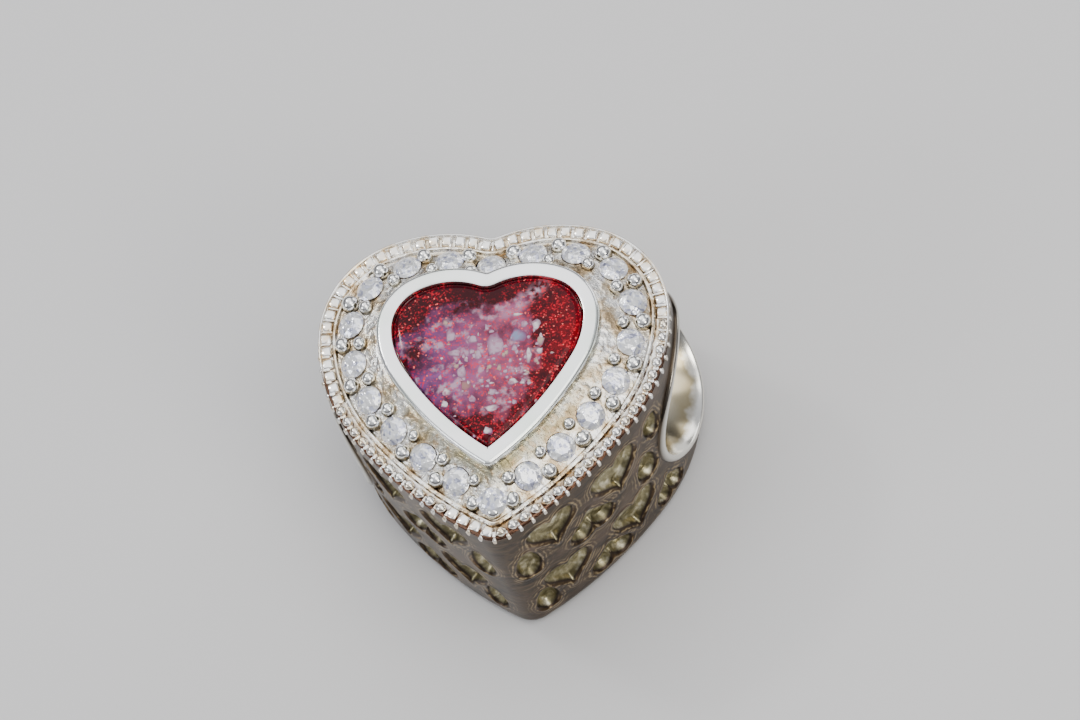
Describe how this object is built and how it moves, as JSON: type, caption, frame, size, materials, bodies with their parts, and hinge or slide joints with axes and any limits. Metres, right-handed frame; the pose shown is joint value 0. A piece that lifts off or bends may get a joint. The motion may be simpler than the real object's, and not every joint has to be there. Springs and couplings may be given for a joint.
{
  "type": "heart-shaped large-hole cremation bead",
  "caption": "Heart-shaped silver charm bead with a resin-filled heart bezel, a row of set stones, a milgrain rim and a wide through-hole for a chain or bracelet.",
  "frame": {"origin": "centre of the bounding box's base, on the flat back", "axes": "+Z out of the heart face, +Y from the tip towards the notch, +X along the through-hole"},
  "size_m": [0.0124, 0.0116, 0.0089],
  "materials": {
    "silver": "cast and polished silver, with a dark oxidised side wall",
    "polished_silver": "polished silver",
    "resin": "clear red resin with glitter and ash chips, domed and glossy",
    "stone": "white brilliant-cut stone"
  },
  "bodies": {
    "root": {"silver_body": "silver", "core_tube": "polished_silver", "resin_heart": "resin", "stone_01": "stone", "stone_02": "stone", "stone_03": "stone", "stone_04": "stone", "stone_05": "stone", "stone_06": "stone", "stone_07": "stone", "stone_08": "stone", "stone_09": "stone", "stone_10": "stone", "stone_11": "stone", "stone_12": "stone", "stone_13": "stone", "stone_14": "stone", "stone_15": "stone", "stone_16": "stone", "stone_17": "stone", "stone_18": "stone", "stone_19": "stone", "stone_20": "stone"}
  },
  "joints": []
}
